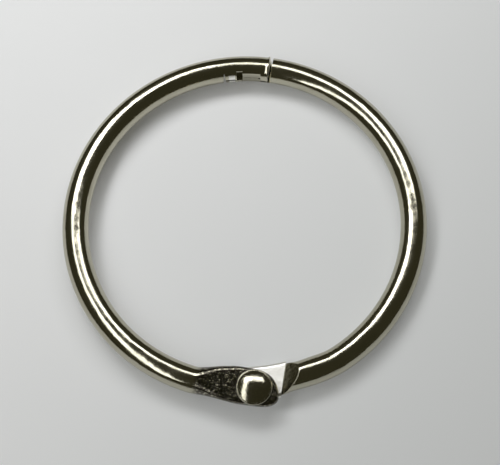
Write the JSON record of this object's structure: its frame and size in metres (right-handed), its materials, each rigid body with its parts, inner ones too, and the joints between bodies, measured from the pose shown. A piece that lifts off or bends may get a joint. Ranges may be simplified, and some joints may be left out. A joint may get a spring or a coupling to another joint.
{
  "type": "binder ring",
  "caption": "Hinged wire ring that binds punched sheets: half rings of plated round wire turn on a domed rivet and close in a lapped catch.",
  "frame": {"origin": "centre of the closed ring, in the middle plane of the wire", "axes": "+Z along the ring's axis, up as it lies flat with the rivet's domed head up; the rivet at -Y and the catch near +Y"},
  "size_m": [0.0444, 0.0454, 0.0038],
  "materials": {
    "ring_plating": "bright nickel plate on drawn steel wire, finely scratched and pitted",
    "rivet_plating": "bright nickel plate on a pressed steel rivet"
  },
  "bodies": {
    "right_half": {"right_half_ring": "ring_plating", "hinge_rivet": "rivet_plating"},
    "left_half": {"left_half_ring": "ring_plating"}
  },
  "joints": [
    {"name": "ring_opening", "type": "hinge", "parent": "right_half", "child": "left_half", "pos_m": [0, -0.021, 0], "axis": [0, 0, 1], "range_deg": [0, 140]}
  ]
}
